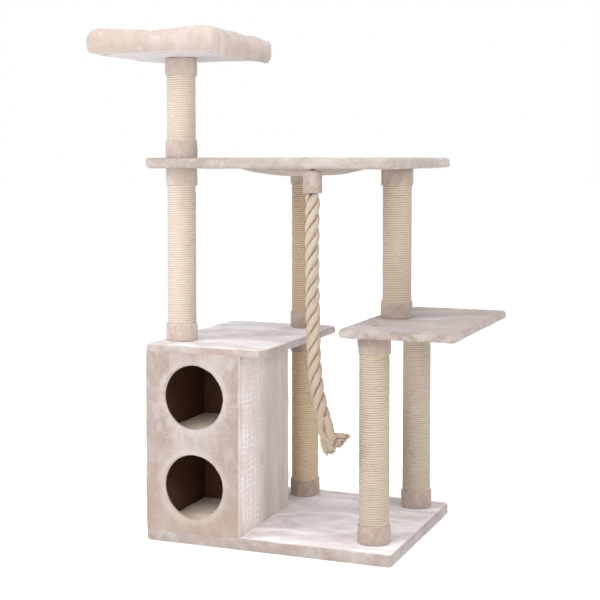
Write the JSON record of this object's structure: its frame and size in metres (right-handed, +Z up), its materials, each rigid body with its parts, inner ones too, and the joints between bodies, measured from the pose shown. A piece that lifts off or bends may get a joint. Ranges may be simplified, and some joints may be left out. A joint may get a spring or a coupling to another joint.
{
  "type": "cat tree",
  "caption": "Plush and sisal cat tree with a two-room condo, platforms on scratching posts, a hollow to lie in, a padded bed on top and a hanging play rope.",
  "frame": {"origin": "middle of the whole tree's bounding box, on the floor", "axes": "+Z up, the condo's doorways face -Y, +X towards the side platform"},
  "size_m": [1.004, 0.679, 1.384],
  "materials": {
    "plush": "short cream plush pile, matt, slightly crushed",
    "sisal": "wound natural sisal cord, matt and hairy",
    "rope_fibre": "thick three-strand natural fibre rope, matt",
    "chipboard": "raw chipboard",
    "cardboard": "raw grey-brown spiral-wound tube",
    "steel": "zinc plated"
  },
  "bodies": {
    "root": {"base_board": "chipboard", "base_cover": "plush", "bed_board": "chipboard", "bed_nest": "plush", "bolt_base_rear_post": "steel", "bolt_base_right_front_post": "steel", "bolt_base_right_rear_post": "steel", "bolt_bed": "steel", "bolt_landing_left_post": "steel", "bolt_side_platform_front_post": "steel", "bolt_side_platform_rear_post": "steel", "bolt_side_platform_upper_post": "steel", "bolt_top_platform_rear_post": "steel", "bolt_top_platform_right_post": "steel", "condo_back": "chipboard", "condo_cover": "plush", "condo_front": "chipboard", "condo_left": "chipboard", "condo_right": "chipboard", "condo_shelf": "chipboard", "landing_board": "chipboard", "landing_cover": "plush", "left_post_collar_low": "plush", "left_post_collar_top": "plush", "left_post_sisal": "sisal", "left_post_tube": "cardboard", "left_upper_post_collar_low": "plush", "left_upper_post_collar_top": "plush", "left_upper_post_sisal": "sisal", "left_upper_post_tube": "cardboard", "platform_hollow": "plush", "rear_post_collar_low": "plush", "rear_post_collar_top": "plush", "rear_post_sisal": "sisal", "rear_post_tube": "cardboard", "rear_upper_post_collar_low": "plush", "rear_upper_post_collar_top": "plush", "rear_upper_post_sisal": "sisal", "rear_upper_post_tube": "cardboard", "right_front_post_collar_low": "plush", "right_front_post_collar_top": "plush", "right_front_post_sisal": "sisal", "right_front_post_tube": "cardboard", "right_rear_post_collar_low": "plush", "right_rear_post_collar_top": "plush", "right_rear_post_sisal": "sisal", "right_rear_post_tube": "cardboard", "right_upper_post_collar_low": "plush", "right_upper_post_collar_top": "plush", "right_upper_post_sisal": "sisal", "right_upper_post_tube": "cardboard", "side_platform_board": "chipboard", "side_platform_cover": "plush", "stud_left_post": "steel", "stud_rear_post": "steel", "top_platform_board": "chipboard", "top_platform_cover": "plush"},
    "rope_sleeve": {"rope_sleeve": "plush"},
    "rope": {"rope": "rope_fibre", "rope_knot": "rope_fibre"}
  },
  "joints": [
    {"name": "rope_sleeve_swing", "type": "hinge", "parent": "root", "child": "rope_sleeve", "pos_m": [0.112, -0.2005, 1.011], "axis": [0, 1, 0], "range_deg": [-5, 10]},
    {"name": "rope_swing", "type": "hinge", "parent": "rope_sleeve", "child": "rope", "pos_m": [0.112, -0.2005, 0.9413], "axis": [1, 0, 0], "range_deg": [-45, 30]}
  ]
}
